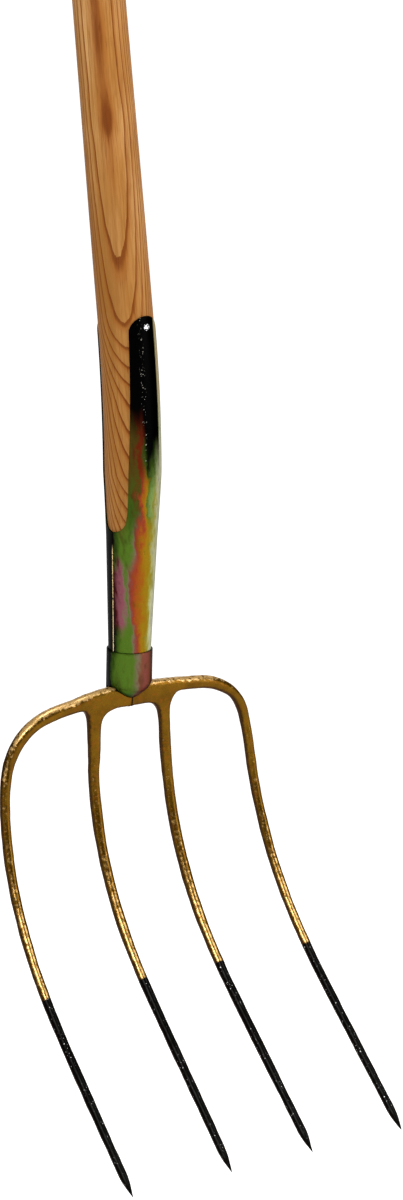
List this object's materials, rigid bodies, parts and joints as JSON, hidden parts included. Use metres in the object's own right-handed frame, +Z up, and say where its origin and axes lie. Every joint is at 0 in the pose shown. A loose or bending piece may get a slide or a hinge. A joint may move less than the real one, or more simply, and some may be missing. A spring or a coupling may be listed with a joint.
{
  "type": "manure fork",
  "caption": "Long-handled manure fork: a forged head of slender curved tines, held on a bent ash handle by a strapped sheet-steel socket and a closed-in collar.",
  "frame": {"origin": "on the axis of the straight handle, just above the tips of the socket's straps", "axes": "+Z up along the straight handle towards its free end, +X across the row of tines, -Y to the front, where the tines sweep"},
  "size_m": [0.2312, 0.1642, 1.6355],
  "materials": {
    "ash_wood": "smooth clear-finished ash with brown cathedral grain",
    "passivated_zinc": "zinc plate with rainbow yellow passivation, bright and streaky",
    "gold_lacquer": "translucent gold-brown lacquer over forged steel, with glossy black dipped points",
    "bright_steel": "bright steel"
  },
  "bodies": {
    "root": {"handle": "ash_wood", "socket": "passivated_zinc", "collar": "passivated_zinc", "head_left": "gold_lacquer", "head_right": "gold_lacquer", "strap_nail_front": "bright_steel", "strap_nail_back": "bright_steel"}
  },
  "joints": []
}
